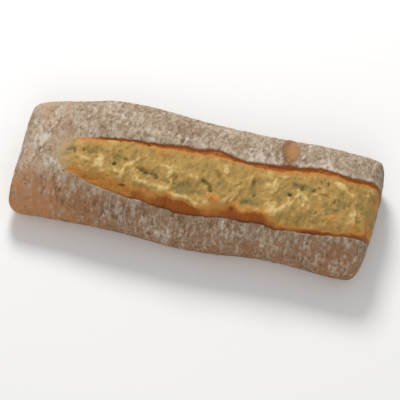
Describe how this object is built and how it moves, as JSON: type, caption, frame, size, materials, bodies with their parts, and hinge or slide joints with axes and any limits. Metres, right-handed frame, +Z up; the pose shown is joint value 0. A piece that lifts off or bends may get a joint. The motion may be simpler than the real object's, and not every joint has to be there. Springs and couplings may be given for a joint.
{
  "type": "ciabatta loaf",
  "caption": "Long, low rustic bread loaf with a floury crust that has burst open lengthwise along its top, lying on its flat base.",
  "frame": {"origin": "centre of the bounding box's bottom, on the surface that the loaf lies on", "axes": "+X along the loaf towards the end where the split runs out, +Y towards the wide unbroken side of the crust, +Z up"},
  "size_m": [0.3, 0.118, 0.056],
  "materials": {
    "crust": "matte"
  },
  "bodies": {
    "root": {"loaf": "crust"}
  },
  "joints": []
}
